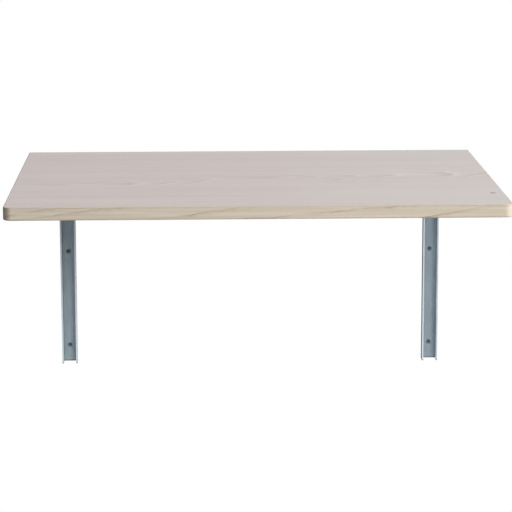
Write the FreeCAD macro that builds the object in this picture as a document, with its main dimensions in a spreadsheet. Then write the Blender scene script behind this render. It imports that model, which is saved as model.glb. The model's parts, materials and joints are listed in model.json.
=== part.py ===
"""Wall mounted drop leaf table.

A wooden leaf lies on two steel arms. Each arm is hinged at the top of a channel that is screwed to the
wall, and a short strut between channel and arm carries the load. The strut's guide pin runs in a curved
slot of the arm, so that leaf and struts fold down together, and a spring catch behind the pin holds the
leaf level.

Frame: X to the right, Y into the wall with the wall's face at zero, Z up. The origin lies on the wall's
face, at the centre of the four outer wall holes. The leaf is level, as in use. Millimetres.
"""
import FreeCAD, Part
import math
import os
from types import SimpleNamespace

import Sketcher

# Driving sizes

SIZES = {
    # wooden leaf
    "board_width": 800,
    "board_depth": 600,
    "board_thickness": 21,
    "board_corner": 13,
    "board_ease": 2,
    "board_wall_gap": 3,
    # steel channels on the wall
    "channel_inset": 68,
    "channel_width": 28,
    "channel_depth": 25,
    "channel_sheet": 2.5,
    "channel_bend": 2,
    "channel_foot": 30.5,
    "hole_rows_span": 298,
    "hole_middle_drop": 122,
    "hole_bore": 5,
    "hole_sink": 8.8,
    # hinge between channel and arm
    "hinge_rise": 22.5,
    "hinge_out": 15,
    "pin_bore": 6,
    "pin_head": 11,
    "pin_head_height": 2.2,
    "running_gap": 0.05,
    "washer_outside": 13,
    "washer_play": 0.05,
    # arm under the leaf
    "arm_side_gap": 0.5,
    "arm_sheet": 2,
    "arm_bend": 1.5,
    "arm_rise": 18,
    "arm_skirt": 11,
    "arm_reach": 345,
    "arm_nose": 16,
    "notch_gap": 1.6,
    # strut
    "strut_drop": 55,
    "strut_setback": 2,
    "strut_length": 120,
    "strut_width": 11,
    "strut_sheet": 2.5,
    "strut_inside": 11,
    "sleeve_outside": 9,
    "sleeve_play": 0.1,
    "retainer_outside": 11,
    "retainer_thickness": 0.8,
    "spacer_reach": 85,
    "spacer_outside": 8,
    "spacer_rivet": 4,
    "spacer_rivet_head": 7,
    "spacer_rivet_height": 0.7,
    # guide pin and its slot
    "guide_bore": 5,
    "guide_rise": 6,
    "guide_end_play": 0.2,
    "guide_chamfer": 0.6,
    "slot_gap": 0.2,
    # spring catch
    "catch_width": 8,
    "catch_sheet": 1,
    "catch_bend": 1.5,
    "catch_gap": 0.3,
    "catch_root": 46,
    "catch_foot": 28,
    "catch_ramp": 11,
    "catch_bridge": 10,
    "catch_tab": 19,
    "catch_tab_drop": 5.5,
    "rivet_bore": 3,
    "rivet_head": 6,
    "rivet_head_height": 1.4,
    "rivet_margin": 7,
    # screws from the arms into the leaf
    "screw_shank": 4,
    "screw_head": 8,
    "screw_head_height": 2.6,
    "screw_bite": 15,
    "screw_tip": 4,
    "screw_gap": 0.15,
    "screw_first": 28,
    "screw_margin": 23,
    "recess_width": 1.1,
    "recess_span": 4.4,
    "recess_depth": 1.5,
    # overrun of every cut
    "overrun": 1,
}
SCREWS_PER_ARM = 4
SLOT_STEPS = 24
FOLD_DEGREES = 90

doc = FreeCAD.newDocument("drop_leaf_table")
sheet = doc.addObject("Spreadsheet::Sheet", "Sizes")
for row, (alias, number) in enumerate(SIZES.items(), start=1):
    sheet.set(f"A{row}", alias)
    sheet.set(f"B{row}", str(number))
    sheet.setAlias(f"B{row}", alias)
doc.recompute()


class Size:
    """A size from the sheet, or a sum of such sizes: its value and the expression that gives it."""

    def __init__(self, value, text):
        self.value = value
        self.text = text

    def __add__(self, other):
        return Size(self.value + other.value, f"({self.text} + {other.text})")

    def __sub__(self, other):
        return Size(self.value - other.value, f"({self.text} - {other.text})")

    def __mul__(self, factor):
        return Size(self.value * factor, f"({self.text} * {factor})")

    def __truediv__(self, divisor):
        return Size(self.value / divisor, f"({self.text} / {divisor})")

    def __neg__(self):
        return Size(-self.value, f"(-1 * {self.text})")

    def over(self, other):
        return Size(self.value / other.value, f"({self.text} / {other.text})")

    def times(self, other):
        return Size(self.value * other.value, f"({self.text} * {other.text})")


def angle_of_sine(ratio):
    """The angle in degrees whose sine is the given ratio."""
    return Size(math.degrees(math.asin(ratio.value)), f"asin({ratio.text})")


mm = SimpleNamespace(**{name: Size(float(sheet.get(name)), f"Sizes.{name}") for name in SIZES})
zero = Size(0.0, "0")

# Derived sizes, seen from a bracket's hinge axis: X across, Y towards the wall, Z up

arm_width = mm.channel_width - mm.channel_sheet * 2 - mm.arm_side_gap * 2
channel_round = mm.channel_depth - mm.hinge_out
channel_bottom = -(mm.hinge_rise + mm.hole_rows_span + mm.channel_foot)
hinge_height = mm.hole_rows_span / 2 + mm.hinge_rise
strut_angle = angle_of_sine((mm.strut_drop + mm.guide_rise).over(mm.strut_length))
strut_outside = mm.strut_inside + mm.strut_sheet * 2
arm_web = mm.arm_rise - mm.arm_sheet


# Building blocks

def place(item, x, y, z, turn=None):
    """Sets an object's place and, where given, its turn about X in degrees, from the sheet."""
    axis = FreeCAD.Vector(1, 0, 0)
    angle = turn.value if turn else 0
    spot = FreeCAD.Vector(x.value, y.value, z.value)
    item.Placement = FreeCAD.Placement(spot, FreeCAD.Rotation(axis, angle))
    for letter, value in zip("xyz", (x, y, z)):
        item.setExpression(f"Placement.Base.{letter}", value.text)
    if turn:
        item.setExpression("Placement.Rotation.Angle", turn.text)


def new_body(label, spot):
    body = doc.addObject("PartDesign::Body", label)
    body.Label = label
    place(body, *spot)
    return body


def new_sketch(body, role, lift=zero):
    """A sketch on one of the body's own planes, lifted along the plane's normal."""
    sketch = body.newObject("Sketcher::SketchObject", f"{body.Name}_sketch")
    plane = next(item for item in body.Origin.OriginFeatures if item.Role == role)
    sketch.AttachmentSupport = [(plane, "")]
    sketch.MapMode = "FlatFace"
    sketch.AttachmentOffset = FreeCAD.Placement(FreeCAD.Vector(0, 0, lift.value), FreeCAD.Rotation())
    sketch.setExpression("AttachmentOffset.Base.z", lift.text)
    return sketch


def bind(sketch, constraint, size):
    index = sketch.addConstraint(constraint)
    sketch.setExpression(f"Constraints[{index}]", size.text)


def pin_point(sketch, edge, end, across, up):
    """Holds one point of an edge at its distances from the sketch's origin."""
    bind(sketch, Sketcher.Constraint("DistanceX", -1, 1, edge, end, across.value), across)
    bind(sketch, Sketcher.Constraint("DistanceY", -1, 1, edge, end, up.value), up)


def arc_between(start, end, radius, turn):
    """The short arc from start to end, to the left where turn is 1 and to the right where it is -1."""
    chord = end - start
    side = FreeCAD.Vector(-chord.y, chord.x, 0).normalize()
    rise = math.sqrt(max(radius ** 2 - (chord.Length / 2) ** 2, 0))
    centre = (start + end) / 2 + side * rise * turn
    first, last = (start, end) if turn > 0 else (end, start)
    angles = [math.atan2(point.y - centre.y, point.x - centre.x) for point in (first, last)]
    if angles[1] < angles[0]:
        angles[1] += 2 * math.pi
    return Part.ArcOfCircle(Part.Circle(centre, FreeCAD.Vector(0, 0, 1), radius), *angles)


def outline(sketch, corners):
    """A closed outline. A corner is (across, up), reached by a straight edge, or
    (across, up, radius, turn), reached by an arc that turns left (1) or right (-1)."""
    spots = [FreeCAD.Vector(corner[0].value, corner[1].value, 0) for corner in corners]
    edges = []
    for index, corner in enumerate(corners):
        start, end = spots[index - 1], spots[index]
        if len(corner) == 2:
            edges.append((sketch.addGeometry(Part.LineSegment(start, end)), 1, 2))
            continue
        radius, turn = corner[2:]
        arc = sketch.addGeometry(arc_between(start, end, radius.value, turn))
        bind(sketch, Sketcher.Constraint("Radius", arc, radius.value), radius)
        edges.append((arc, 1, 2) if turn > 0 else (arc, 2, 1))
    for index, corner in enumerate(corners):
        edge, _, end = edges[index]
        following, start, _ = edges[(index + 1) % len(edges)]
        sketch.addConstraint(Sketcher.Constraint("Coincident", edge, end, following, start))
        pin_point(sketch, edge, end, corner[0], corner[1])


def circle(sketch, across, up, diameter):
    centre = FreeCAD.Vector(across.value, up.value, 0)
    normal = FreeCAD.Vector(0, 0, 1)
    edge = sketch.addGeometry(Part.Circle(centre, normal, diameter.value / 2))
    pin_point(sketch, edge, 3, across, up)
    bind(sketch, Sketcher.Constraint("Diameter", edge, diameter.value), diameter)


def pad(body, sketch, length):
    feature = body.newObject("PartDesign::Pad", f"{body.Name}_pad")
    feature.Profile = sketch
    feature.setExpression("Length", length.text)
    doc.recompute()
    return feature


def pocket(body, sketch, length):
    """Cuts the sketch's outlines against its normal, and makes sure that something was cut."""
    before = body.Shape.Volume
    feature = body.newObject("PartDesign::Pocket", f"{body.Name}_pocket")
    feature.Profile = sketch
    feature.setExpression("Length", length.text)
    doc.recompute()
    if not body.Shape.Volume < before:
        raise RuntimeError(f"{body.Label}: a pocket cuts nothing")
    return feature


def turned(label, spot, corners, along="X"):
    """A turned piece about X, drawn as (along, radius), or about Z, drawn as (radius, along)."""
    body = new_body(label, spot)
    role, axis = ("XY_Plane", "H_Axis") if along == "X" else ("XZ_Plane", "V_Axis")
    sketch = new_sketch(body, role)
    outline(sketch, corners)
    feature = body.newObject("PartDesign::Revolution", f"{body.Name}_turn")
    feature.Profile = sketch
    feature.ReferenceAxis = (sketch, [axis])
    doc.recompute()
    return body


def ring(label, spot, low, high, bore, outside):
    """A plain tube about X between two places along it."""
    inner, outer = bore / 2, outside / 2
    return turned(label, spot, [(low, inner), (high, inner), (high, outer), (low, outer)])


def dome_radius(head, height):
    """Radius of a domed head of the given diameter and height."""
    half = head / 2
    return (half.times(half) + height.times(height)).over(height * 2)


def headed_pin(label, spot, grip, shank, head, height):
    """A pin about X with a domed head at each end of its grip."""
    half = grip / 2
    shaft = shank / 2
    rim = head / 2
    dome = dome_radius(head, height)
    return turned(label, spot, [
        (half + height, zero),
        (half, rim, dome, 1),
        (half, shaft),
        (-half, shaft),
        (-half, rim),
        (-(half + height), zero, dome, 1),
    ])


def group(label, members):
    """Separate solids of the same kind as one node."""
    node = doc.addObject("Part::Compound", f"{label}_group")
    node.Label = label
    node.Links = members
    return node


def channel_section(sketch, width, back, tip, thickness, bend):
    """The outline of a bent channel: its web at back, its two flanges' free edges at tip."""
    half = width / 2
    corner = thickness + bend
    outline(sketch, [
        (-half, tip),
        (-half, back - corner),
        (-(half - corner), back, corner, -1),
        (half - corner, back),
        (half, back - corner, corner, -1),
        (half, tip),
        (half - thickness, tip),
        (half - thickness, back - corner),
        (half - corner, back - thickness, bend, 1),
        (-(half - corner), back - thickness),
        (-(half - thickness), back - corner, bend, 1),
        (-(half - thickness), tip),
    ])


# Wooden leaf

def screw_places():
    """Distances of the leaf's screws from the hinge axis, along an arm."""
    step = (mm.arm_reach - mm.screw_margin - mm.screw_first) / (SCREWS_PER_ARM - 1)
    return [mm.screw_first + step * index for index in range(SCREWS_PER_ARM)]


def table_top(label, arm_centres):
    body = new_body(label, (zero, -mm.board_wall_gap, hinge_height + mm.arm_rise))
    half = mm.board_width / 2
    corner = mm.board_corner
    face = new_sketch(body, "XY_Plane")
    outline(face, [
        (half, zero),
        (-half, zero),
        (-half, -(mm.board_depth - corner)),
        (-(half - corner), -mm.board_depth, corner, 1),
        (half - corner, -mm.board_depth),
        (half, -(mm.board_depth - corner), corner, 1),
    ])
    slab = pad(body, face, mm.board_thickness)
    rims = [
        f"Edge{number}"
        for number, edge in enumerate(slab.Shape.Edges, start=1)
        if edge.BoundBox.ZLength < mm.running_gap.value
    ]
    ease = body.newObject("PartDesign::Fillet", f"{body.Name}_ease")
    ease.Base = (slab, rims)
    ease.setExpression("Radius", mm.board_ease.text)
    doc.recompute()
    depth = mm.screw_bite + mm.screw_gap
    pilots = new_sketch(body, "XY_Plane", depth)
    for centre in arm_centres:
        for reach in screw_places():
            back = mm.hinge_out - mm.board_wall_gap + reach
            circle(pilots, centre, -back, mm.screw_shank + mm.screw_gap * 2)
    pocket(body, pilots, depth + mm.overrun)
    return body


# Steel channel on the wall

def wall_channel(label, spot):
    body = new_body(label, spot)
    tip = -channel_round
    section = new_sketch(body, "XY_Plane", channel_bottom)
    channel_section(section, mm.channel_width, mm.hinge_out, tip, mm.channel_sheet, mm.channel_bend)
    pad(body, section, channel_round - channel_bottom)

    side = mm.channel_width / 2 + mm.overrun
    through = side * 2
    shoulder = new_sketch(body, "YZ_Plane", side)
    outline(shoulder, [
        (tip, zero, channel_round, 1),
        (tip - mm.overrun, zero),
        (tip - mm.overrun, channel_round + mm.overrun),
        (zero, channel_round + mm.overrun),
        (zero, channel_round),
    ])
    pocket(body, shoulder, through)

    pins = new_sketch(body, "YZ_Plane", side)
    circle(pins, zero, zero, mm.pin_bore + mm.running_gap * 2)
    circle(pins, mm.strut_setback, -mm.strut_drop, mm.pin_bore + mm.running_gap * 2)
    pocket(body, pins, through)

    face = mm.hinge_out - mm.channel_sheet
    bores = new_sketch(body, "XZ_Plane", mm.overrun - face)
    for drop in (zero, mm.hole_middle_drop, mm.hole_rows_span):
        circle(bores, zero, -(mm.hinge_rise + drop), mm.hole_bore)
    holes = pocket(body, bores, mm.channel_sheet + mm.overrun * 2)
    rims = [
        f"Edge{number}"
        for number, edge in enumerate(holes.Shape.Edges, start=1)
        if isinstance(edge.Curve, Part.Circle)
        and abs(edge.Curve.Radius - mm.hole_bore.value / 2) < mm.running_gap.value
        and abs(edge.Curve.Center.y - face.value) < mm.running_gap.value
    ]
    sink = body.newObject("PartDesign::Chamfer", f"{body.Name}_sink")
    sink.Base = (holes, rims)
    sink.setExpression("Size", ((mm.hole_sink - mm.hole_bore) / 2).text)
    doc.recompute()
    return body


# Steel arm under the leaf

def guide_places(x=0.0):
    """The guide pin's path past the arm, in the plane at x, for a steady ratio of strut to arm."""
    pivot = complex(-mm.strut_setback.value, -mm.strut_drop.value)
    length = mm.strut_length.value
    level = math.radians(strut_angle.value)
    folded = math.asin((mm.guide_rise + mm.strut_setback).value / length)
    places = []
    for step in range(SLOT_STEPS + 1):
        part_way = step / SLOT_STEPS
        fold = math.radians(FOLD_DEGREES) * part_way
        strut = level + (folded - level) * part_way
        point = pivot * complex(math.cos(fold), math.sin(fold))
        point += length * complex(math.cos(strut), math.sin(strut))
        places.append(FreeCAD.Vector(x, -point.real, point.imag))
    return places


def curve_through(points):
    curve = Part.BSplineCurve()
    curve.interpolate(points)
    return curve


def slot_cutter(label, spot):
    """The curved slot that the guide pin sweeps through both flanges of an arm."""
    side = (arm_width / 2 + mm.overrun).value
    path = curve_through(guide_places(-side))
    half = (mm.guide_bore / 2 + mm.slot_gap).value
    stations = [
        path.FirstParameter + (path.LastParameter - path.FirstParameter) * step / SLOT_STEPS
        for step in range(SLOT_STEPS + 1)
    ]
    across = FreeCAD.Vector(1, 0, 0)
    ahead = [path.tangent(station)[0] for station in stations]
    middle = [path.value(station) for station in stations]
    upper = [point + across.cross(way) * half for point, way in zip(middle, ahead)]
    lower = [point - across.cross(way) * half for point, way in zip(middle, ahead)]
    wire = Part.Wire([
        curve_through(upper).toShape(),
        Part.Arc(upper[-1], middle[-1] + ahead[-1] * half, lower[-1]).toShape(),
        curve_through(lower[::-1]).toShape(),
        Part.Arc(lower[0], middle[0] - ahead[0] * half, upper[0]).toShape(),
    ])
    cutter = doc.addObject("Part::Feature", label)
    cutter.Shape = Part.Face(wire).extrude(across * side * 2)
    place(cutter, *spot)
    return cutter


def rivet_places():
    """Distances of the catch's rivets from the hinge axis."""
    return [mm.catch_root + mm.rivet_margin, mm.catch_root + mm.catch_foot - mm.rivet_margin]


def arm_channel(label, spot):
    body = new_body(f"{label}_blank", spot)
    skirt = mm.arm_skirt
    section = new_sketch(body, "XZ_Plane", -skirt)
    channel_section(section, arm_width, mm.arm_rise, -skirt, mm.arm_sheet, mm.arm_bend)
    pad(body, section, skirt + mm.arm_reach)

    side = arm_width / 2 + mm.overrun
    through = side * 2
    heel = new_sketch(body, "YZ_Plane", side)
    outline(heel, [
        (skirt, zero, skirt, 1),
        (skirt + mm.overrun, zero),
        (skirt + mm.overrun, -(skirt + mm.overrun)),
        (zero, -(skirt + mm.overrun)),
        (zero, -skirt),
    ])
    pocket(body, heel, through)

    front = mm.arm_reach + mm.overrun
    nose = new_sketch(body, "YZ_Plane", side)
    outline(nose, [
        (-front, -(skirt + mm.overrun)),
        (mm.arm_nose + mm.overrun - mm.arm_reach, -(skirt + mm.overrun)),
        (-front, mm.arm_nose + mm.overrun - skirt),
    ])
    pocket(body, nose, through)

    notch = mm.pin_bore / 2 + mm.notch_gap
    mouth = new_sketch(body, "YZ_Plane", side)
    outline(mouth, [
        (-(mm.strut_drop + notch), -(skirt + mm.overrun)),
        (-(mm.strut_drop - notch), -(skirt + mm.overrun)),
        (-(mm.strut_drop - notch), -mm.strut_setback),
        (-mm.strut_drop, notch - mm.strut_setback, notch, 1),
        (-(mm.strut_drop + notch), -mm.strut_setback, notch, 1),
    ])
    pocket(body, mouth, through)

    hinge = new_sketch(body, "YZ_Plane", side)
    circle(hinge, zero, zero, mm.pin_bore + mm.running_gap * 2)
    pocket(body, hinge, through)

    web = new_sketch(body, "XY_Plane", mm.arm_rise + mm.overrun)
    for reach in screw_places():
        circle(web, zero, -reach, mm.screw_shank + mm.screw_gap * 2)
    for reach in rivet_places():
        circle(web, zero, -reach, mm.rivet_bore + mm.running_gap * 2)
    pocket(body, web, mm.arm_sheet + mm.overrun * 2)

    slotted = doc.addObject("Part::Cut", f"{label}_slotted")
    slotted.Label = label
    slotted.Base = body
    slotted.Tool = slot_cutter(f"{label}_slot", spot)
    return slotted


# Strut

def strut_plate(label, spot, turn, inner_face):
    """One flat bar of the strut, drawn along its own length from the lower pivot outwards."""
    body = new_body(label, spot)
    place(body, *spot, turn)
    half = mm.strut_width / 2
    reach = mm.strut_length
    side = new_sketch(body, "YZ_Plane", inner_face)
    outline(side, [
        (-reach, half, half, -1),
        (zero, half),
        (half, zero, half, -1),
        (zero, -half, half, -1),
        (-reach, -half),
        (-(reach + half), zero, half, -1),
    ])
    circle(side, zero, zero, mm.pin_bore + mm.running_gap * 2)
    circle(side, -mm.spacer_reach, zero, mm.spacer_rivet)
    circle(side, -reach, zero, mm.guide_bore)
    pad(body, side, mm.strut_sheet)
    return body


def guide_pin(label, spot):
    half = arm_width / 2 - mm.guide_end_play
    radius = mm.guide_bore / 2
    ease = mm.guide_chamfer
    return turned(label, spot, [
        (half, zero),
        (half, radius - ease),
        (half - ease, radius),
        (ease - half, radius),
        (-half, radius - ease),
        (-half, zero),
    ])


# Spring catch

def bent_strip(points, thickness, bend):
    """A flat face along points in the plane of Y and Z: runs of the given thickness joined by bends."""
    across = FreeCAD.Vector(1, 0, 0)
    ways = [(end - start).normalize() for start, end in zip(points, points[1:])]
    half = thickness / 2
    sides = []
    for shift in (half, -half):
        start = points[0] + across.cross(ways[0]) * shift
        edges = []
        for corner, way, turned_way in zip(points[1:-1], ways, ways[1:]):
            left = 1 if across.dot(way.cross(turned_way)) > 0 else -1
            angle = way.getAngle(turned_way)
            centre_line = bend + half
            back = way * (centre_line * math.tan(angle / 2))
            centre = corner - back + across.cross(way) * (centre_line * left)
            radius = centre_line - shift * left
            spokes = [-across.cross(item) * left for item in (way, way + turned_way, turned_way)]
            arc = [centre + spoke.normalize() * radius for spoke in spokes]
            edges.append(Part.LineSegment(start, arc[0]).toShape())
            edges.append(Part.Arc(*arc).toShape())
            start = arc[2]
        edges.append(Part.LineSegment(start, points[-1] + across.cross(ways[-1]) * shift).toShape())
        sides.append(edges)
    ends = [
        Part.LineSegment(points[index] + across.cross(ways[index]) * half,
                         points[index] - across.cross(ways[index]) * half).toShape()
        for index in (0, -1)
    ]
    return Part.Face(Part.Wire(Part.__sortEdges__(sides[0] + sides[1] + ends)))


def spring_catch(label, spot):
    """A bent strip: riveted under the arm's web, over the guide pin, hooked down behind it, with a
    sloping finger tab."""
    half = mm.catch_sheet.value / 2
    pin = guide_places()[0]
    clear = mm.guide_bore.value / 2 + mm.catch_gap.value + half
    hook = -pin.y + clear
    bridge = pin.z + clear
    hook_foot = pin.z - mm.guide_bore.value / 2 - half
    foot_height = arm_web.value - half
    root = mm.catch_root.value
    bridge_start = hook - mm.catch_bridge.value
    ramp_start = bridge_start - mm.catch_ramp.value
    tab_end = hook + mm.catch_tab.value
    stations = [
        (root, foot_height),
        (ramp_start, foot_height),
        (bridge_start, bridge),
        (hook, bridge),
        (hook, hook_foot),
        (tab_end, hook_foot - mm.catch_tab_drop.value),
    ]
    side = -mm.catch_width.value / 2
    points = [FreeCAD.Vector(side, -out, height) for out, height in stations]
    face = bent_strip(points, mm.catch_sheet.value, mm.catch_bend.value)
    strip = face.extrude(FreeCAD.Vector(mm.catch_width.value, 0, 0))
    for reach in rivet_places():
        under = FreeCAD.Vector(0, -reach.value, arm_web.value - mm.catch_sheet.value - mm.overrun.value)
        bore = mm.rivet_bore.value / 2 + mm.running_gap.value
        strip = strip.cut(Part.makeCylinder(bore, mm.catch_sheet.value + 2 * mm.overrun.value, under))
    catch = doc.addObject("Part::Feature", label)
    catch.Label = label
    catch.Shape = strip
    place(catch, *spot)
    return catch


def catch_rivet(label, spot):
    """A rivet about Z, flush with the top of the arm's web, with a domed head under the catch."""
    shank = mm.rivet_bore / 2
    rim = mm.rivet_head / 2
    seat = arm_web - mm.catch_sheet
    dome = dome_radius(mm.rivet_head, mm.rivet_head_height)
    return turned(label, spot, [
        (zero, mm.arm_rise),
        (zero, seat - mm.rivet_head_height),
        (rim, seat, dome, 1),
        (shank, seat),
        (shank, mm.arm_rise),
    ], along="Z")


# Screws from the arms into the leaf

def board_screw(label, spot):
    """A pan head wood screw about Z, its head under the arm's web, with a cross recess."""
    shank = mm.screw_shank / 2
    rim = mm.screw_head / 2
    tip = mm.arm_rise + mm.screw_bite
    dome = dome_radius(mm.screw_head, mm.screw_head_height)
    body = turned(label, spot, [
        (zero, arm_web - mm.screw_head_height),
        (rim, arm_web, dome, 1),
        (shank, arm_web),
        (shank, tip - mm.screw_tip),
        (zero, tip),
    ], along="Z")
    narrow = mm.recess_width / 2
    wide = mm.recess_span / 2
    cross = new_sketch(body, "XY_Plane", arm_web - mm.screw_head_height + mm.recess_depth)
    outline(cross, [
        (narrow, narrow), (wide, narrow), (wide, -narrow),
        (narrow, -narrow), (narrow, -wide), (-narrow, -wide),
        (-narrow, -narrow), (-wide, -narrow), (-wide, narrow),
        (-narrow, narrow), (-narrow, wide), (narrow, wide),
    ])
    pocket(body, cross, mm.recess_depth + mm.overrun)
    return body


# One folding bracket

def bracket(side, centre):
    """All pieces of the left or right bracket, by node name."""
    hinge = (centre, -mm.hinge_out, hinge_height)
    pivot = (centre, mm.strut_setback - mm.hinge_out, hinge_height - mm.strut_drop)
    turn = -strut_angle

    def named(piece):
        return f"{side}_{piece}"

    def along_strut(item, reach):
        """Moves a turned piece from the strut's pivot to a place along the strut."""
        spread = f"{reach.text} * cos({strut_angle.text})"
        climb = f"{reach.text} * sin({strut_angle.text})"
        item.setExpression("Placement.Base.y", f"{pivot[1].text} - {spread}")
        item.setExpression("Placement.Base.z", f"{pivot[2].text} + {climb}")
        doc.recompute()
        return item

    def both_ends(piece, spot, low, high, bore, outside):
        """The same ring at both sides of the bracket."""
        return group(named(piece), [
            ring(f"{named(piece)}_near", spot, low, high, bore, outside),
            ring(f"{named(piece)}_far", spot, -high, -low, bore, outside),
        ])

    def in_a_row(piece, maker, places):
        """The same piece at each of the places along the arm."""
        return group(named(piece), [
            maker(f"{named(piece)}_{index}", (centre, -(mm.hinge_out + reach), hinge_height))
            for index, reach in enumerate(places, start=1)
        ])

    grip = mm.channel_width
    running = mm.pin_bore + mm.running_gap * 2
    plate_face = mm.strut_inside / 2
    plate_back = strut_outside / 2
    inward = {"left": 1, "right": -1}[side]
    faces = {1: plate_face, -1: -plate_back}
    washer = (arm_width / 2 + mm.washer_play, mm.channel_width / 2 - mm.channel_sheet - mm.washer_play)
    sleeve = plate_face - mm.sleeve_play
    return [
        wall_channel(named("wall_channel"), hinge),
        arm_channel(named("arm_channel"), hinge),
        headed_pin(named("hinge_pin"), hinge, grip, mm.pin_bore, mm.pin_head, mm.pin_head_height),
        both_ends("hinge_washers", hinge, *washer, running, mm.washer_outside),
        headed_pin(named("strut_pivot_pin"), pivot, grip, mm.pin_bore, mm.pin_head, mm.pin_head_height),
        ring(named("strut_pivot_sleeve"), pivot, -sleeve, sleeve, running, mm.sleeve_outside),
        both_ends("strut_retainers", pivot, plate_back + mm.running_gap,
                  plate_back + mm.running_gap + mm.retainer_thickness,
                  mm.pin_bore, mm.retainer_outside),
        strut_plate(named("strut_plate_inner"), pivot, turn, faces[inward]),
        strut_plate(named("strut_plate_outer"), pivot, turn, faces[-inward]),
        along_strut(ring(named("strut_spacer"), pivot, -plate_face, plate_face,
                         mm.spacer_rivet, mm.spacer_outside), mm.spacer_reach),
        along_strut(headed_pin(named("strut_spacer_rivet"), pivot, strut_outside, mm.spacer_rivet,
                               mm.spacer_rivet_head, mm.spacer_rivet_height), mm.spacer_reach),
        along_strut(guide_pin(named("guide_pin"), pivot), mm.strut_length),
        spring_catch(named("spring_catch"), hinge),
        in_a_row("catch_rivets", catch_rivet, rivet_places()),
        in_a_row("board_screws", board_screw, screw_places()),
    ]


# The whole table

half_spacing = mm.board_width / 2 - mm.channel_inset
nodes = [table_top("table_top", (-half_spacing, half_spacing))]
nodes += bracket("left", -half_spacing)
nodes += bracket("right", half_spacing)
doc.recompute()

for item in doc.Objects:
    if {"Invalid", "Error"} & set(item.State):
        raise RuntimeError(f"{item.Label} failed: {item.State}")
for node in nodes:
    if node.Shape.isNull() or not node.Shape.isValid():
        raise RuntimeError(f"{node.Label} has no valid shape")

os.makedirs("parts", exist_ok=True)
for node in nodes:
    node.Shape.exportStep(os.path.join("parts", f"{node.Label}.step"))
    print(f"{node.Label}: {len(node.Shape.Solids)} solid(s), {node.Shape.Volume:.0f} cubic mm")

folded_angle = angle_of_sine((mm.guide_rise + mm.strut_setback).over(mm.strut_length))
strut_ratio = 1 + (strut_angle.value - folded_angle.value) / FOLD_DEGREES
print(f"hinge axis at y {-mm.hinge_out.value:.3f}, z {hinge_height.value:.3f}")
print(f"strut pivot at y {(mm.strut_setback - mm.hinge_out).value:.3f}, "
      f"z {(hinge_height - mm.strut_drop).value:.3f}")
print(f"strut turns {strut_ratio:.6f} times as far as the leaf")
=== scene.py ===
import json
import math

import bmesh
import bpy
from mathutils import Color, Matrix, Vector


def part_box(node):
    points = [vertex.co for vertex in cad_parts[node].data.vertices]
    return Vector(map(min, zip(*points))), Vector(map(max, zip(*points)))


# Looks of a wall mounted drop leaf table: pale wood on zinc plated folding brackets.
# Metres, in the frame of the CAD model: X to the right, Y into the wall, Z up.

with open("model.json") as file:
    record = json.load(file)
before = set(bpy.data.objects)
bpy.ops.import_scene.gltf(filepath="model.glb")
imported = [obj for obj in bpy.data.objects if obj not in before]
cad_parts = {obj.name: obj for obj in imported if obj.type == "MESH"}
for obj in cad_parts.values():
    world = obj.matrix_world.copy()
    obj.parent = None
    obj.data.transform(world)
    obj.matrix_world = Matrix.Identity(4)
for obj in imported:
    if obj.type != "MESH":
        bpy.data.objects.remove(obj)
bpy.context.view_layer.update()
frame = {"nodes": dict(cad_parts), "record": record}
leaf_low, leaf_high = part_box("table_top")
channel_low, channel_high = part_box("right_wall_channel")


# Places, worked out from the frame and its record's mounts

MM_PER_METRE = 1000


def on_leaf_x(share):
    """Place along X, as a share of the leaf's width from its left end."""
    return leaf_low.x + share * (leaf_high.x - leaf_low.x)


def on_leaf_y(share):
    """Place along Y, as a share of the leaf's depth from its front."""
    return leaf_low.y + share * (leaf_high.y - leaf_low.y)


def from_edge(edge, distances):
    """Places at the given distances from an edge, below it where they are negative."""
    return [edge + distance for distance in distances]


def hole_places(pattern):
    """Centres of the holes of a pattern with two columns and one or two rows, as X and Z."""
    x, _, z = pattern["pos_m"]
    half_width = pattern["dims"]["spacing_x_mm"] / 2 / MM_PER_METRE
    half_height = pattern["dims"].get("spacing_y_mm", 0) / 2 / MM_PER_METRE
    columns = (x - half_width, x + half_width)
    rows = {z - half_height, z + half_height}
    return [(column, row) for column in columns for row in sorted(rows)]


hole_patterns = [mount for mount in frame["record"]["mounts"] if mount["kind"] == "bolt_pattern"]
HOLE_PLACES = [place for pattern in hole_patterns for place in hole_places(pattern)]
HOLE_RADIUS = hole_patterns[0]["dims"]["hole_r_mm"] / MM_PER_METRE


# Node helpers

# Numbers of the mix node's sockets for colours
MIX_SHARE, MIX_FIRST, MIX_SECOND, MIX_RESULT = 0, 6, 7, 2
# Values of a noise that count as none and as full
TIGHT = (0.3, 0.7)
MIDDLING = (0.25, 0.75)
WIDE = (0.2, 0.8)


def srgb(red, green, blue):
    """Linear colour of a screen colour with channels from 0 to 255."""
    screen = Color([channel / 255 for channel in (red, green, blue)])
    return (*screen.from_srgb_to_scene_linear(), 1.0)


def plug(tree, socket, given):
    """Links a socket to another socket, or sets it to a plain value."""
    if isinstance(given, bpy.types.NodeSocket):
        tree.links.new(given, socket)
    else:
        socket.default_value = given


def node(tree, kind, inputs=None, **settings):
    """A node with its settings, and its inputs by name or number."""
    made = tree.nodes.new(kind)
    for name, setting in settings.items():
        setattr(made, name, setting)
    for key, given in (inputs or {}).items():
        plug(tree, made.inputs[key], given)
    return made


def maths(tree, operation, first, second=0.0):
    """Result of a math node."""
    return node(tree, "ShaderNodeMath", {0: first, 1: second}, operation=operation).outputs[0]


def fade(tree, value, low, high, start=0.0, end=1.0, smooth=True):
    """Goes from start, where value is low, to end, where it is high."""
    kind = "SMOOTHSTEP" if smooth else "LINEAR"
    ends = {"Value": value, "From Min": low, "From Max": high, "To Min": start, "To Max": end}
    return node(tree, "ShaderNodeMapRange", ends, interpolation_type=kind).outputs[0]


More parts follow.
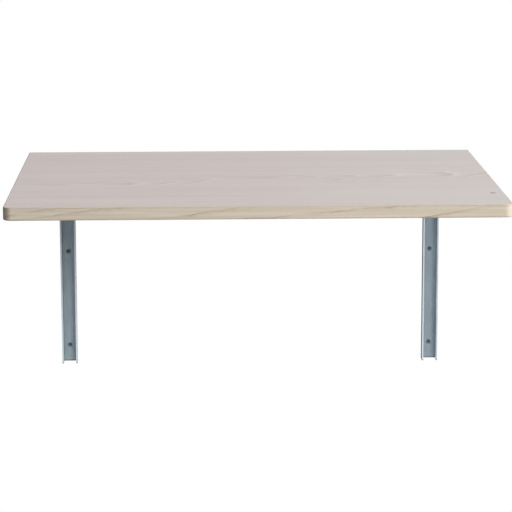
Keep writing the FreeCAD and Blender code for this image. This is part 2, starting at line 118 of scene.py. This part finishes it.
def blend(tree, share, first, second):
    """Colour that goes from first to second as the share goes from 0 to 1."""
    inputs = {MIX_SHARE: share, MIX_FIRST: first, MIX_SECOND: second}
    return node(tree, "ShaderNodeMix", inputs, data_type="RGBA").outputs[MIX_RESULT]


def noise(tree, coords, scales, detail=3.0, roughness=0.5):
    """Noise with about as many marks per metre along X, Y and Z as the scales say."""
    spread = node(tree, "ShaderNodeMapping", {"Vector": coords, "Scale": scales})
    settings = {"Vector": spread.outputs[0], "Scale": 1.0, "Detail": detail, "Roughness": roughness}
    return node(tree, "ShaderNodeTexNoise", settings).outputs[0]


def drift(tree, coords, scales, reach, run=WIDE, detail=3.0):
    """Noise that wanders by up to reach to both sides of zero."""
    return fade(tree, noise(tree, coords, scales, detail), *run, -reach, reach, smooth=False)


def length(tree, first, second):
    """Length of a line that goes first along one axis and second along another."""
    spoke = node(tree, "ShaderNodeCombineXYZ", {0: first, 1: second}).outputs[0]
    return node(tree, "ShaderNodeVectorMath", {0: spoke}, operation="LENGTH").outputs["Value"]


def bump(tree, height, strength, distance):
    settings = {"Height": height, "Strength": strength, "Distance": distance}
    return node(tree, "ShaderNodeBump", settings).outputs[0]


def seen_rays(tree):
    """Is 1 for rays that show the background: from the camera, or by way of metal or glass."""
    rays = node(tree, "ShaderNodeLightPath").outputs
    seen = maths(tree, "MAXIMUM", rays["Is Camera Ray"], rays["Is Glossy Ray"])
    return maths(tree, "MAXIMUM", seen, rays["Is Transmission Ray"])


def new_material(name):
    """A new material with its tree, its shader and the coordinates of its object."""
    material = bpy.data.materials.new(name)
    material.use_nodes = True
    tree = material.node_tree
    coords = node(tree, "ShaderNodeTexCoord").outputs["Object"]
    return material, tree, tree.nodes["Principled BSDF"], coords


def attach(tree, shader, **sockets):
    """Fills the shader's inputs, named with underscores for spaces."""
    for name, given in sockets.items():
        plug(tree, shader.inputs[name.replace("_", " ")], given)


# Broad faces of the wooden leaf

# In all materials, scales are a noise's marks per metre along X, Y and Z, and a run is the pair of
# values at which a look starts and is full. A strength is the share of a look that is added, and a bump
# is a strength and a height.
FACE_LIGHT = srgb(207, 197, 194)
FACE_DEEP = srgb(201, 190, 187)
FACE_COOL = srgb(204, 200, 198)
FACE_LINE = srgb(178, 162, 150)
FACE_PALE = srgb(230, 223, 218)
EDGE_LIGHT = srgb(206, 195, 180)
WOOD_LINE = srgb(146, 122, 98)
BAND_SCALES = (1.2, 24, 24)
BAND_RUN = (0.32, 0.68)
FIBRE_SCALES = (14, 800, 800)
FIBRE_RUN = (0.55, 0.75)
FIBRE_STRENGTH = 0.22
# The faces turn cooler from this share of the leaf's width on
COOL_START_SHARE = 0.3125
COOL_STRENGTH = 0.6
# Heart of the log at the leaf's left and right ends: shares of the leaf's depth from its front, and how
# deep the heart lies below the face
HEART_SHARES = (0.355, 0.555)
HEART_DEPTHS = (0.015, 0.105)
HEART_SWAY = 0.03
HEART_SWAY_SCALES = (3, 0.5, 0.5)
RING_WANDER = 0.012
RING_WANDER_SCALES = (4, 9, 9)
FACE_RINGS_PER_METRE = 110
FLAME_REACH = (0.03, 0.2)
FLAME_FAR_STRENGTH = 0.35
PATCH_SCALES = (6, 22, 22)
PATCH_RUN = (0.38, 0.66)
PATCH_STRENGTHS = (0.1, 0.5)
# Dark late wood and pale early wood, as shares of one growth ring
LATE_RISE = (0.45, 0.93)
LATE_FALL = (1.0, 0.93)
EARLY_RISE = (0.0, 0.06)
EARLY_FALL = (0.4, 0.1)
EARLY_STRENGTH = 0.55
# Knot: shares of the leaf's width and depth from its left front corner
KNOT_SHARES = (0.976, 0.185)
KNOT_RADIUS = 0.007
KNOT_CORE_RADIUS = 0.0021
# Distances from the front at which its warmer colour starts and is full
FRONT_FADE = (0.025, 0.004)
FRONT_STRENGTH = 0.5


def along_leaf(tree, x, left, right):
    """Goes evenly from left to right along the leaf's width."""
    return fade(tree, x, leaf_low.x, leaf_high.x, left, right, smooth=False)


def flames(tree, coords, x, y, faces):
    """Adds growth rings that run out in long flames along the heart of the log."""
    wander = drift(tree, coords, RING_WANDER_SCALES, RING_WANDER, MIDDLING)
    depth = maths(tree, "ADD", along_leaf(tree, x, *HEART_DEPTHS), wander)
    sway = drift(tree, coords, HEART_SWAY_SCALES, HEART_SWAY, MIDDLING, detail=2.0)
    line = along_leaf(tree, x, *(on_leaf_y(share) for share in HEART_SHARES))
    across = maths(tree, "SUBTRACT", y, maths(tree, "ADD", line, sway))
    rings = maths(tree, "MULTIPLY", length(tree, across, depth), FACE_RINGS_PER_METRE)
    ring_share = maths(tree, "FRACT", rings)

    near = fade(tree, maths(tree, "ABSOLUTE", across), *FLAME_REACH, 1.0, FLAME_FAR_STRENGTH)
    patches = fade(tree, noise(tree, coords, PATCH_SCALES, detail=2.0), *PATCH_RUN, *PATCH_STRENGTHS)
    clear = maths(tree, "MULTIPLY", near, patches)
    late_fall = fade(tree, ring_share, *LATE_FALL)
    late = maths(tree, "MULTIPLY", fade(tree, ring_share, *LATE_RISE), late_fall)
    early_fall = fade(tree, ring_share, *EARLY_FALL, 0.0, EARLY_STRENGTH)
    early = maths(tree, "MULTIPLY", fade(tree, ring_share, *EARLY_RISE), early_fall)
    faces = blend(tree, maths(tree, "MULTIPLY", late, clear), faces, FACE_LINE)
    return blend(tree, maths(tree, "MULTIPLY", early, clear), faces, FACE_PALE)


def pin_knot(tree, x, y, faces):
    """Adds one small dark knot."""
    aside = maths(tree, "SUBTRACT", x, on_leaf_x(KNOT_SHARES[0]))
    ahead = maths(tree, "SUBTRACT", y, on_leaf_y(KNOT_SHARES[1]))
    dark = fade(tree, length(tree, aside, ahead), KNOT_RADIUS, KNOT_CORE_RADIUS)
    return blend(tree, dark, faces, WOOD_LINE)


def broad_faces(tree, coords, x, y):
    """Colour of the two broad faces: soft bands, fine fibres, flames, a knot and a warmer front."""
    bands = noise(tree, coords, BAND_SCALES, detail=4.0, roughness=0.55)
    faces = blend(tree, fade(tree, bands, *BAND_RUN), FACE_DEEP, FACE_LIGHT)
    fibres = noise(tree, coords, FIBRE_SCALES, detail=2.0, roughness=0.6)
    faces = blend(tree, fade(tree, fibres, *FIBRE_RUN, 0.0, FIBRE_STRENGTH), faces, FACE_LINE)
    cool = fade(tree, x, on_leaf_x(COOL_START_SHARE), leaf_high.x, 0.0, COOL_STRENGTH)
    faces = blend(tree, cool, faces, FACE_COOL)
    faces = flames(tree, coords, x, y, faces)
    faces = pin_knot(tree, x, y, faces)
    front = fade(tree, y, *from_edge(leaf_low.y, FRONT_FADE), 0.0, FRONT_STRENGTH)
    return blend(tree, front, faces, EDGE_LIGHT)


# Long edges of the leaf

# Where each growth line leaves the lower face and reaches the upper one, as shares of the leaf's width
# from its left end, and how dark it is
GRAIN_LINE_SHARES = (
    (-0.125, 0.175, 0.65),
    (-0.062, 0.312, 0.75),
    (0.231, 0.544, 1.0),
    (0.378, 0.874, 0.9),
    (0.781, 0.998, 1.0),
)
LINE_OVERRUN = 0.0015
LINE_WANDER = 0.0022
LINE_WANDER_SCALES = (11, 5, 90)
LINE_KINK = 0.0012
LINE_KINK_SCALES = (70, 5, 30)
LINE_HALF_WIDTH = 0.0011
LINE_SHADE_REACH = 0.006
LINE_SHADE_RIM = 0.0008
LINE_SHADE_STRENGTH = 0.4
LINE_BREAK_SCALES = (26, 8, 60)
LINE_BREAK_RUN = (0.3, 0.62)
LINE_BREAK_STRENGTHS = (0.2, 0.8)


def climbing_lines(tree, coords, x, z):
    """Where the growth lines lie on the long edges: thin lines, each with a soft shade below it."""
    wander = drift(tree, coords, LINE_WANDER_SCALES, LINE_WANDER)
    kinks = drift(tree, coords, LINE_KINK_SCALES, LINE_KINK, detail=1.0)
    height = maths(tree, "ADD", z, maths(tree, "ADD", wander, kinks))
    low, high = leaf_low.z - LINE_OVERRUN, leaf_high.z + LINE_OVERRUN
    lines = 0.0
    for start, end, strength in GRAIN_LINE_SHARES:
        line = fade(tree, x, on_leaf_x(start), on_leaf_x(end), low, high)
        away = maths(tree, "SUBTRACT", height, line)
        thin = fade(tree, maths(tree, "ABSOLUTE", away), 0.0, LINE_HALF_WIDTH, strength, 0.0)
        below = fade(tree, away, -LINE_SHADE_REACH, 0.0, 0.0, LINE_SHADE_STRENGTH * strength)
        shade = maths(tree, "MULTIPLY", below, fade(tree, away, 0.0, LINE_SHADE_RIM, 1.0, 0.0))
        lines = maths(tree, "MAXIMUM", lines, maths(tree, "MAXIMUM", thin, shade))
    breaks = noise(tree, coords, LINE_BREAK_SCALES, detail=2.0)
    return maths(tree, "MULTIPLY", lines, fade(tree, breaks, *LINE_BREAK_RUN, *LINE_BREAK_STRENGTHS))


# Short ends of the leaf

EDGE_DEEP = srgb(195, 183, 164)
WOOD_END = srgb(184, 164, 138)
STAVE_WIDTH = 0.09
RING_CENTRE_DROP = 0.035
END_RINGS_PER_METRE = 260
RING_WOBBLE = 0.7
RING_WOBBLE_SCALES = (5, 60, 60)
END_LATE_RUN = (0.35, 1.0)
END_LATE_STRENGTH = 0.8
PORE_SCALES = (90, 1100, 1100)
PORE_RUN = (0.6, 0.75)
PORE_STRENGTH = 0.4


def end_grain(tree, coords, y, z):
    """Colour of the two short ends: growth rings in each stave of the leaf, with small pores."""
    half = STAVE_WIDTH / 2
    across = node(tree, "ShaderNodeMath", {0: y, 1: half, 2: -half}, operation="WRAP").outputs[0]
    up = maths(tree, "SUBTRACT", z, leaf_low.z - RING_CENTRE_DROP)
    rings = maths(tree, "MULTIPLY", length(tree, across, up), END_RINGS_PER_METRE)
    rings = maths(tree, "ADD", rings, drift(tree, coords, RING_WOBBLE_SCALES, RING_WOBBLE, detail=2.0))
    late = fade(tree, maths(tree, "FRACT", rings), *END_LATE_RUN, 0.0, END_LATE_STRENGTH)
    colour = blend(tree, late, EDGE_DEEP, WOOD_END)
    pores = noise(tree, coords, PORE_SCALES, detail=2.0)
    return blend(tree, fade(tree, pores, *PORE_RUN, 0.0, PORE_STRENGTH), colour, WOOD_LINE)


# The whole leaf

# Colour of the painted shade on the rounded arrises
PAINTED_ARRIS_SHADE = srgb(100, 92, 84)
STREAK_SCALES = (3.5, 60, 260)
STREAK_RUN = (0.36, 0.64)
WOOD_ROUGHNESS = (0.6, 0.7)
WOOD_GLOSS = 0.2
WOOD_BUMP = (0.1, 0.0004)
# Shares of the surface's normal along Z, Y and X at which one look gives way to the next
FACE_TURN = (0.35, 0.75)
EDGE_TURN = (0.55, 0.8)
END_TURN = (0.6, 0.9)
# Painted shade on the rounding between edges and faces, fainter on the front
ARRIS_SHADE_RISE = (0.05, 0.3)
ARRIS_SHADE_FALL = (0.99, 0.9)
ARRIS_SHADE_FRONT_TURN = (-0.3, -0.1)
ARRIS_SHADE_STRENGTHS = (0.25, 0.9)


def wood_material():
    """Wood of the leaf, with a look of its own on faces, long edges, short ends and roundings, which get
    painted shade.
    """
    material, tree, shader, coords = new_material("pale_wood")
    x, y, z = node(tree, "ShaderNodeSeparateXYZ", {0: coords}).outputs
    normal = node(tree, "ShaderNodeTexCoord").outputs["Normal"]
    facing_x, facing_y, facing_z = node(tree, "ShaderNodeSeparateXYZ", {0: normal}).outputs
    flatness = maths(tree, "ABSOLUTE", facing_z)

    streaks = noise(tree, coords, STREAK_SCALES, detail=4.0, roughness=0.6)
    edges = blend(tree, fade(tree, streaks, *STREAK_RUN), EDGE_DEEP, EDGE_LIGHT)
    on_edge = fade(tree, maths(tree, "ABSOLUTE", facing_y), *EDGE_TURN)
    lines = maths(tree, "MULTIPLY", climbing_lines(tree, coords, x, z), on_edge)
    edges = blend(tree, lines, edges, WOOD_LINE)
    colour = blend(tree, fade(tree, flatness, *FACE_TURN), edges, broad_faces(tree, coords, x, y))
    on_end = fade(tree, maths(tree, "ABSOLUTE", facing_x), *END_TURN)
    colour = blend(tree, on_end, colour, end_grain(tree, coords, y, z))

    # Painted shade: the rounded arrises are darkened, less so on the front
    shade_fall = fade(tree, flatness, *ARRIS_SHADE_FALL)
    rounding = maths(tree, "MULTIPLY", fade(tree, flatness, *ARRIS_SHADE_RISE), shade_fall)
    arris_shade = maths(tree, "MULTIPLY", rounding, fade(tree, facing_y, *ARRIS_SHADE_FRONT_TURN, *ARRIS_SHADE_STRENGTHS))
    colour = blend(tree, arris_shade, colour, PAINTED_ARRIS_SHADE)
    attach(tree, shader, Base_Color=colour, Normal=bump(tree, streaks, *WOOD_BUMP),
           Roughness=fade(tree, streaks, *TIGHT, *WOOD_ROUGHNESS), Specular_IOR_Level=WOOD_GLOSS)
    return material


# Zinc plated sheet of channels, arms and struts

ZINC_LIGHT = srgb(182, 194, 201)
ZINC_DEEP = srgb(165, 178, 186)
# Darker colour for the countersinks and the lower ends of the wall channels
DARK_STEEL = srgb(72, 79, 84)
# Colour of the painted highlight on the free edges of the wall channels
TIP_HIGHLIGHT_ZINC = srgb(202, 210, 217)
ZINC_METAL = 0.2
ZINC_GLOSS = 0.0
ZINC_ROUGHNESS = (0.43, 0.54)
ZINC_BUMP = (0.08, 0.0002)
ROLLED_ALONG = 18.0
ROLLED_ACROSS = 900.0
ROLLED_RUN = (0.35, 0.75)
ROLLED_STRENGTH = 0.3
CLOUD_SCALES = (38, 38, 22)
SCUFF_SCALES = (260, 260, 120)
SCUFF_RUN = (0.66, 0.78)
SCUFF_STRENGTH = 0.45
SCUFF_ROUGH_RUN = (0.6, 0.75)
SCUFF_ROUGHNESS = 0.12
# Details of the wall channels: distances from an edge, or from a hole's centre, at which each starts and
# is full
SINK_FADE = (0.0047, 0.0041)
SINK_STRENGTH = 0.35
TIP_FADE = (0.0012, 0.0002)
TIP_HIGHLIGHT_STRENGTH = 0.85
FLANGE_WITHOUT_HIGHLIGHT = (-0.004, -0.003)
FOOT_FADE = (0.0035, 0.0005)
FOOT_STRENGTH = 0.6
OUTSIDE_FADE = (-0.0008, -0.0003)


def plated_material(name, along, details=None):
    """Zinc plated sheet: fine rolling streaks along one axis, soft cloudy patches and small scuffs."""
    material, tree, shader, coords = new_material(name)
    rolled_scales = [ROLLED_ALONG if axis == along else ROLLED_ACROSS for axis in "XYZ"]
    rolled = noise(tree, coords, rolled_scales, roughness=0.6)
    cloud = noise(tree, coords, CLOUD_SCALES, detail=4.0, roughness=0.6)
    scuffs = noise(tree, coords, SCUFF_SCALES, detail=2.0, roughness=0.7)
    colour = blend(tree, fade(tree, cloud, *TIGHT), ZINC_DEEP, ZINC_LIGHT)
    colour = blend(tree, fade(tree, rolled, *ROLLED_RUN, 0.0, ROLLED_STRENGTH), colour, ZINC_LIGHT)
    colour = blend(tree, fade(tree, scuffs, *SCUFF_RUN, 0.0, SCUFF_STRENGTH), colour, ZINC_DEEP)
    marks = fade(tree, scuffs, *SCUFF_ROUGH_RUN, 0.0, SCUFF_ROUGHNESS)
    rough = maths(tree, "ADD", fade(tree, cloud, *TIGHT, *ZINC_ROUGHNESS), marks)
    metal = ZINC_METAL
    if details:
        colour, no_metal = details(tree, coords, colour)
        metal = fade(tree, no_metal, 0.0, 1.0, ZINC_METAL, 0.0)
    attach(tree, shader, Base_Color=colour, Metallic=metal, Roughness=rough,
           Specular_IOR_Level=ZINC_GLOSS, Normal=bump(tree, rolled, *ZINC_BUMP))
    return material


def channel_details(tree, coords, colour):
    """Adds the wall channels' darker countersinks, a painted highlight on the free edges and darker
    lower ends. Also says where the zinc loses its metal: on the outsides, as painted shade, and on the
    free edges."""
    x, y, z = node(tree, "ShaderNodeSeparateXYZ", {0: coords}).outputs
    centre = (channel_low.x + channel_high.x) / 2
    aside = maths(tree, "SUBTRACT", maths(tree, "ABSOLUTE", x), centre)
    for height in sorted({height for _, height in HOLE_PLACES}):
        reach = length(tree, aside, maths(tree, "SUBTRACT", z, height))
        colour = blend(tree, fade(tree, reach, *SINK_FADE, 0.0, SINK_STRENGTH), colour, DARK_STEEL)

    # Painted highlight: the free front edges are lightened, except on the right channel's outer right
    # flange
    tips = fade(tree, y, *from_edge(channel_low.y, TIP_FADE))
    tip_highlight = fade(tree, x, *from_edge(channel_high.x, FLANGE_WITHOUT_HIGHLIGHT), TIP_HIGHLIGHT_STRENGTH, 0.0)
    colour = blend(tree, maths(tree, "MULTIPLY", tips, tip_highlight), colour, TIP_HIGHLIGHT_ZINC)
    # Darker towards the lower ends
    foot = fade(tree, z, *from_edge(channel_low.z, FOOT_FADE), 0.0, FOOT_STRENGTH)
    colour = blend(tree, foot, colour, DARK_STEEL)

    half_width = channel_high.x - centre
    # Painted shade: the outsides lose their metal reflection, standing in for the shaded wall beside
    # them
    outsides = fade(tree, maths(tree, "ABSOLUTE", aside), *from_edge(half_width, OUTSIDE_FADE))
    return colour, maths(tree, "MAXIMUM", outsides, tips)


# Turned steel and plastic

TURNED_SCALES = (2600, 700, 700)
TURNED_CLOUD_SCALES = (190, 190, 190)
TURNED_ROUGHNESS_SPAN = 0.12
TURNED_BUMP = (0.06, 0.0001)
PLASTIC_SCALES = (420, 420, 420)
PLASTIC_ROUGHNESS = (0.4, 0.52)
PLASTIC_BUMP = (0.05, 0.0001)


def turned_material(name, light, deep, roughness):
    """Plain steel with fine marks round and across it."""
    material, tree, shader, coords = new_material(name)
    marks = noise(tree, coords, TURNED_SCALES, detail=2.0)
    cloud = noise(tree, coords, TURNED_CLOUD_SCALES, roughness=0.6)
    colour = blend(tree, fade(tree, cloud, *TIGHT), deep, light)
    rough = fade(tree, cloud, *TIGHT, roughness, roughness + TURNED_ROUGHNESS_SPAN)
    attach(tree, shader, Base_Color=colour, Metallic=1.0, Roughness=rough,
           Normal=bump(tree, marks, *TURNED_BUMP))
    return material


def plastic_material(name, light, deep):
    """Pale plastic with a soft, fine cloudiness."""
    material, tree, shader, coords = new_material(name)
    cloud = noise(tree, coords, PLASTIC_SCALES)
    colour = blend(tree, fade(tree, cloud, *TIGHT), deep, light)
    rough = fade(tree, cloud, *TIGHT, *PLASTIC_ROUGHNESS)
    attach(tree, shader, Base_Color=colour, Roughness=rough, Normal=bump(tree, cloud, *PLASTIC_BUMP))
    return material


# Looks of all pieces, by node name without its side

wood = wood_material()
upright_zinc = plated_material("zinc_upright", "Z", channel_details)
level_zinc = plated_material("zinc_level", "Y")
pin_steel = turned_material("pin_steel", srgb(176, 179, 182), srgb(150, 153, 157), roughness=0.26)
screw_steel = turned_material("screw_steel", srgb(188, 188, 184), srgb(160, 160, 156), roughness=0.3)
spring_steel = turned_material("spring_steel", srgb(98, 102, 108), srgb(72, 76, 84), roughness=0.3)
washer_plastic = plastic_material("washer_plastic", srgb(226, 225, 219), srgb(214, 212, 204))

LOOKS = {
    "table_top": wood,
    "wall_channel": upright_zinc,
    "arm_channel": level_zinc,
    "strut_plate_inner": level_zinc,
    "strut_plate_outer": level_zinc,
    "hinge_pin": pin_steel,
    "strut_pivot_pin": pin_steel,
    "strut_pivot_sleeve": pin_steel,
    "strut_spacer": pin_steel,
    "strut_spacer_rivet": pin_steel,
    "guide_pin": pin_steel,
    "catch_rivets": pin_steel,
    "board_screws": screw_steel,
    "spring_catch": spring_steel,
    "strut_retainers": spring_steel,
    "hinge_washers": washer_plastic,
}
for name, item in frame["nodes"].items():
    look = LOOKS[name.removeprefix("left_").removeprefix("right_")]
    item.data.materials.clear()
    item.data.materials.append(look)


# Stage: a pale floor below, and dark discs of painted shade that show through the empty screw holes

FLOOR_LIGHT = srgb(238, 238, 238)
FLOOR_DEEP = srgb(232, 232, 232)
FLOOR_ROUGHNESS = 0.7
FLOOR_SCALES = (3, 3, 3)
FLOOR_DROP = 0.35
FLOOR_HEIGHT = channel_low.z - FLOOR_DROP
FLOOR_HALF_WIDTH = 1.5
FLOOR_REACH = 1.8
# Distances from below the leaf's middle, and from the wall, over which the floor fades out
FLOOR_FADE = (0.5, 1.4)
FLOOR_WALL_FADE = 0.15
# Share of the floor that is seen, though all of it gives back light
FLOOR_SEEN = 0.3
# Painted shade: dark grey for the wall that shows through the screw holes
HOLE_SHADE_LIGHT = srgb(112, 118, 122)
HOLE_SHADE_DEEP = srgb(98, 105, 110)
WALL_ROUGHNESS = 0.9
WALL_SCALES = (300, 300, 300)
DISC_OVERLAP = 0.0009
DISC_SETBACK = 0.0003
DISC_CORNERS = 24


def flat_mesh(name, outlines, material):
    """A mesh of flat polygons, each given by its corners, as a stage piece."""
    mesh = bpy.data.meshes.new(name)
    sheet = bmesh.new()
    for outline in outlines:
        sheet.faces.new([sheet.verts.new(corner) for corner in outline])
    sheet.to_mesh(mesh)
    sheet.free()
    mesh.materials.append(material)
    made = bpy.data.objects.new(name, mesh)
    bpy.context.scene.collection.objects.link(made)


def floor_material():
    """Pale and matt, fading out around the table, faintly seen and not seen from below."""
    material, tree, shader, coords = new_material("pale_floor")
    colour = blend(tree, noise(tree, coords, FLOOR_SCALES), FLOOR_DEEP, FLOOR_LIGHT)
    attach(tree, shader, Base_Color=colour, Roughness=FLOOR_ROUGHNESS)
    middle = (0.0, (leaf_low.y + leaf_high.y) / 2, FLOOR_HEIGHT)
    reach = node(tree, "ShaderNodeVectorMath", {0: coords, 1: middle}, operation="DISTANCE")
    y = node(tree, "ShaderNodeSeparateXYZ", {0: coords}).outputs["Y"]
    at_wall = fade(tree, y, -FLOOR_WALL_FADE, 0.0)
    away = maths(tree, "MAXIMUM", fade(tree, reach.outputs["Value"], *FLOOR_FADE), at_wall)
    under = node(tree, "ShaderNodeNewGeometry").outputs["Backfacing"]
    shown = maths(tree, "SUBTRACT", 1.0, maths(tree, "MAXIMUM", under, away))
    faint = fade(tree, seen_rays(tree), 0.0, 1.0, 1.0, FLOOR_SEEN, smooth=False)
    share = maths(tree, "MULTIPLY", shown, faint)
    clear = node(tree, "ShaderNodeBsdfTransparent").outputs[0]
    mixed = node(tree, "ShaderNodeMixShader", {0: share, 1: clear, 2: shader.outputs[0]})
    tree.links.new(mixed.outputs[0], tree.nodes["Material Output"].inputs["Surface"])
    return material


def shade_material():
    """Painted shade: a dark grey for the wall in the shade behind a screw hole."""
    material, tree, shader, coords = new_material("shaded_wall")
    colour = blend(tree, noise(tree, coords, WALL_SCALES, detail=2.0), HOLE_SHADE_DEEP, HOLE_SHADE_LIGHT)
    attach(tree, shader, Base_Color=colour, Roughness=WALL_ROUGHNESS)
    return material


def disc(x, z, radius):
    """Corners of a round outline that stands upright, just behind the wall's face."""
    corners = []
    for step in range(DISC_CORNERS):
        angle = 2 * math.pi * step / DISC_CORNERS
        corners.append((x + radius * math.cos(angle), DISC_SETBACK, z + radius * math.sin(angle)))
    return corners


floor_corners = [
    (-FLOOR_HALF_WIDTH, -FLOOR_REACH, FLOOR_HEIGHT),
    (FLOOR_HALF_WIDTH, -FLOOR_REACH, FLOOR_HEIGHT),
    (FLOOR_HALF_WIDTH, 0.0, FLOOR_HEIGHT),
    (-FLOOR_HALF_WIDTH, 0.0, FLOOR_HEIGHT),
]
discs = [disc(x, z, HOLE_RADIUS + DISC_OVERLAP) for x, z in HOLE_PLACES]
flat_mesh("floor", [floor_corners], floor_material())
flat_mesh("wall_behind_holes", discs, shade_material())


# Light: soft lamps to the right, in front, above and behind, a dim even room, and a white background

AIM = Vector((0.0, -0.3, 0.1))
ROOM_LIGHT = 0.11
WHITE = (1.0, 1.0, 1.0, 1.0)
# Direction from the table, distance, width and height, and level on a surface that faces the lamp
LAMPS = {
    "key": ((0.861, -0.477, 0.174), 6.0, (2.0, 2.0), 1.14),
    "front": ((0.26, -0.91, 0.33), 5.0, (1.5, 1.2), 0.31),
    "top": ((0.10, 0.08, 0.98), 4.0, (2.4, 2.0), 0.55),
    "back": ((-0.15, 0.93, -0.33), 5.0, (2.0, 1.5), 0.45),
}
for name, (way, distance, size, level) in LAMPS.items():
    lamp = bpy.data.lights.new(name, "AREA")
    lamp.shape = "RECTANGLE"
    lamp.size, lamp.size_y = size
    # At this power, a white surface that faces the lamp shows its level
    lamp.energy = level * math.pi ** 2 * distance ** 2
    holder = bpy.data.objects.new(name, lamp)
    towards = Vector(way).normalized()
    holder.location = AIM + towards * distance
    holder.rotation_euler = towards.to_track_quat("Z", "Y").to_euler()
    bpy.context.scene.collection.objects.link(holder)

world = bpy.data.worlds.new("studio")
world.use_nodes = True
bpy.context.scene.world = world
sky = world.node_tree
sky.nodes.clear()
room = node(sky, "ShaderNodeBackground", {"Color": WHITE, "Strength": ROOM_LIGHT})
white = node(sky, "ShaderNodeBackground", {"Color": WHITE, "Strength": 1.0})
mixed = node(sky, "ShaderNodeMixShader", {0: seen_rays(sky), 1: room.outputs[0], 2: white.outputs[0]})
node(sky, "ShaderNodeOutputWorld", {"Surface": mixed.outputs[0]})


# Camera, fitted to the photograph's edges

PHOTO_PIXELS = 512
FOCAL_PIXELS = 2243
SENSOR_MM = 36.0
CAMERA_PLACE = (-0.1021, -4.0537, 0.798)
TURN = math.radians(-1.613)
TILT_DOWN = math.radians(10.933)
ROLL = math.radians(-0.131)
# Rows that point across, down and ahead of a level camera that faces the wall
FACING_WALL = Matrix(((1, 0, 0), (0, 0, -1), (0, 1, 0)))

facing = Matrix.Rotation(TURN, 3, "Y") @ FACING_WALL
facing = Matrix.Rotation(TILT_DOWN, 3, "X") @ facing
facing = Matrix.Rotation(ROLL, 3, "Z") @ facing
across, down, ahead = facing.row
camera_data = bpy.data.cameras.new("camera")
camera_data.sensor_fit = "HORIZONTAL"
camera_data.sensor_width = SENSOR_MM
camera_data.lens = FOCAL_PIXELS / PHOTO_PIXELS * SENSOR_MM
camera = bpy.data.objects.new("camera", camera_data)
camera_axes = Matrix((across, -down, -ahead)).transposed()
camera.matrix_world = Matrix.Translation(CAMERA_PLACE) @ camera_axes.to_4x4()
bpy.context.scene.collection.objects.link(camera)
bpy.context.scene.camera = camera

bpy.context.scene.view_settings.view_transform = "Standard"
